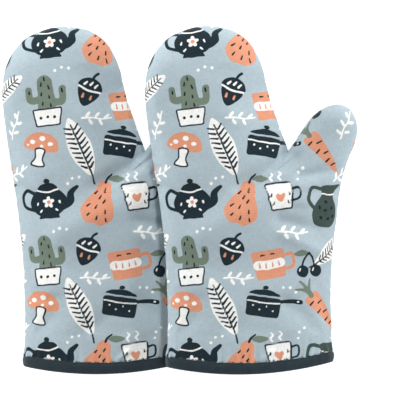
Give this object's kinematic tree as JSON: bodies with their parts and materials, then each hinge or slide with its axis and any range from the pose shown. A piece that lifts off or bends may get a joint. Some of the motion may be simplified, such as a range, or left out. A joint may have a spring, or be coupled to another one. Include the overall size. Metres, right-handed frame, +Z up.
{
  "type": "pair of oven gloves",
  "caption": "Pair of padded cotton oven gloves with one thumb each, printed outside, lined inside and bound round the cuff, lying on a table with one glove resting on the other.",
  "frame": {"origin": "on the table under the gloves, at the centre of the bounding box", "axes": "+Z up from the table, +Y towards the fingertips, +X towards the thumbs"},
  "size_m": [0.2864, 0.2801, 0.0519],
  "materials": {
    "print_ground": "printed cotton, fine plain weave, matt",
    "wadding": "needled polyester wadding, matt",
    "lining": "plain cotton, matt",
    "binding_tape": "folded cotton bias tape, matt",
    "seam_thread": "spun polyester thread",
    "lining_thread": "spun polyester thread",
    "binding_thread": "spun polyester thread"
  },
  "bodies": {
    "left_glove": {"left_front_panel": "print_ground", "left_back_panel": "print_ground", "left_front_wadding": "wadding", "left_back_wadding": "wadding", "left_front_lining": "lining", "left_back_lining": "lining", "left_cuff_binding": "binding_tape", "left_seam_thread": "seam_thread", "left_lining_thread": "lining_thread", "left_binding_thread": "binding_thread"},
    "right_glove": {"right_front_panel": "print_ground", "right_back_panel": "print_ground", "right_front_wadding": "wadding", "right_back_wadding": "wadding", "right_front_lining": "lining", "right_back_lining": "lining", "right_cuff_binding": "binding_tape", "right_seam_thread": "seam_thread", "right_lining_thread": "lining_thread", "right_binding_thread": "binding_thread"}
  },
  "joints": [
    {"name": "right_glove_lift", "type": "slide", "parent": "left_glove", "child": "right_glove", "axis": [0, 0, 1], "range_m": [0, 0.1]}
  ]
}
